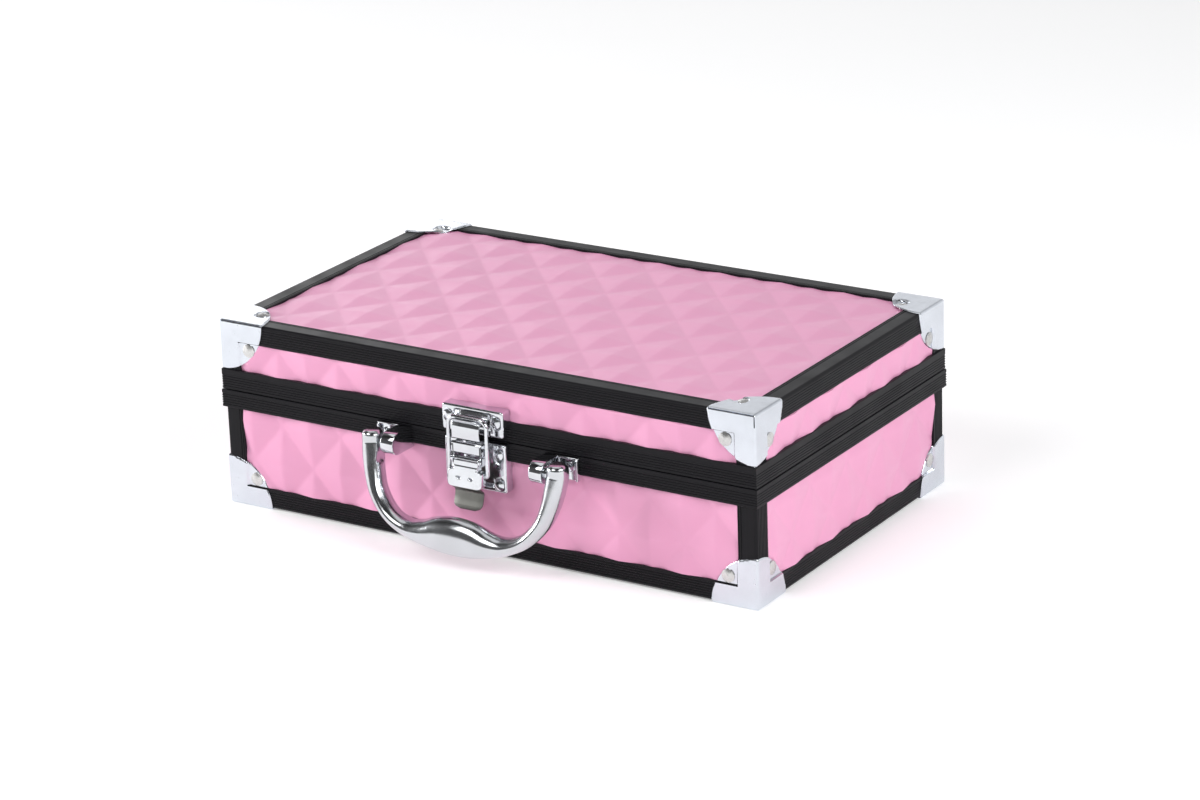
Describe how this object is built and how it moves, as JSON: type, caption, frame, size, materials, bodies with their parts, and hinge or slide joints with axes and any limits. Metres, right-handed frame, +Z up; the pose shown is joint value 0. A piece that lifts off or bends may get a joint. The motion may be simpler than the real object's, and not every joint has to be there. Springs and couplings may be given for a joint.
{
  "type": "makeup train case",
  "caption": "Small rectangular cosmetics case with embossed pink panels, black metal edging, bright corner caps, a hinged lid, a draw latch and a drop handle.",
  "frame": {"origin": "bottom centre of the whole object's box, on the surface the case stands on", "axes": "+X to the right along the long side, +Y from the latch side to the hinge side, +Z up"},
  "size_m": [0.2728, 0.1972, 0.0864],
  "materials": {
    "pink_panel": "satin, embossed with shallow pyramids",
    "black_extrusion": "black anodised, finely grooved",
    "corner_chrome": "bright plated pressed steel",
    "rivet_steel": "plated steel",
    "latch_chrome": "bright plated pressed steel",
    "tab_steel": "plain grey spring steel",
    "handle_chrome": "bright plated casting",
    "bracket_chrome": "bright plated casting",
    "hinge_steel": "bright plated pressed steel",
    "lining": "black flocked foam sheet"
  },
  "bodies": {
    "base": {"base_lining": "lining", "base_panel_back": "pink_panel", "base_panel_front": "pink_panel", "base_panel_left": "pink_panel", "base_panel_right": "pink_panel", "base_posts": "black_extrusion", "base_rail_back": "black_extrusion", "base_rail_front": "black_extrusion", "base_rail_left": "black_extrusion", "base_rail_right": "black_extrusion", "bottom_edge_back": "black_extrusion", "bottom_edge_front": "black_extrusion", "bottom_edge_left": "black_extrusion", "bottom_edge_right": "black_extrusion", "bracket_rivets": "bracket_chrome", "corner_base_back_left": "corner_chrome", "corner_base_back_right": "corner_chrome", "corner_base_front_left": "corner_chrome", "corner_base_front_right": "corner_chrome", "corner_rivets_base": "rivet_steel", "floor_panel": "pink_panel", "handle_bracket_left": "bracket_chrome", "handle_bracket_right": "bracket_chrome", "handle_pins": "bracket_chrome", "hinge_base_leaves": "hinge_steel", "hinge_base_rivets": "hinge_steel", "hinge_pins": "hinge_steel", "latch_base": "latch_chrome", "latch_rivets": "latch_chrome", "lever_pivot_pin": "latch_chrome"},
    "lid": {"corner_lid_back_left": "corner_chrome", "corner_lid_back_right": "corner_chrome", "corner_lid_front_left": "corner_chrome", "corner_lid_front_right": "corner_chrome", "corner_rivets_lid": "rivet_steel", "hinge_lid_leaves": "hinge_steel", "hinge_lid_rivets": "hinge_steel", "keeper": "latch_chrome", "keeper_rivets": "latch_chrome", "lid_lining": "lining", "lid_panel_back": "pink_panel", "lid_panel_front": "pink_panel", "lid_panel_left": "pink_panel", "lid_panel_right": "pink_panel", "lid_panel_top": "pink_panel", "lid_posts": "black_extrusion", "lid_rail_back": "black_extrusion", "lid_rail_front": "black_extrusion", "lid_rail_left": "black_extrusion", "lid_rail_right": "black_extrusion", "top_edge_back": "black_extrusion", "top_edge_front": "black_extrusion", "top_edge_left": "black_extrusion", "top_edge_right": "black_extrusion"},
    "handle": {"handle": "handle_chrome"},
    "latch_lever": {"latch_lever": "latch_chrome", "finger_tab": "tab_steel"},
    "latch_loop": {"latch_wire_loop": "latch_chrome"}
  },
  "joints": [
    {"name": "lid_hinge", "type": "hinge", "parent": "base", "child": "lid", "pos_m": [0, 0.09673, 0.0539], "axis": [-1, 0, 0], "range_deg": [0, 95]},
    {"name": "handle_swing", "type": "hinge", "parent": "base", "child": "handle", "pos_m": [0, -0.08287, 0.0485], "axis": [-1, 0, 0], "range_deg": [0, 120]},
    {"name": "latch_lever_swing", "type": "hinge", "parent": "base", "child": "latch_lever", "pos_m": [0, -0.08127, 0.0468], "axis": [-1, 0, 0], "range_deg": [0, 100]},
    {"name": "latch_loop_swing", "type": "hinge", "parent": "latch_lever", "child": "latch_loop", "pos_m": [0, -0.08117, 0.0403], "axis": [-1, 0, 0], "range_deg": [-90, 0]}
  ],
  "couplings": [
    {"joint": "latch_loop_swing", "follows": "latch_lever_swing", "ratio": -0.85}
  ]
}
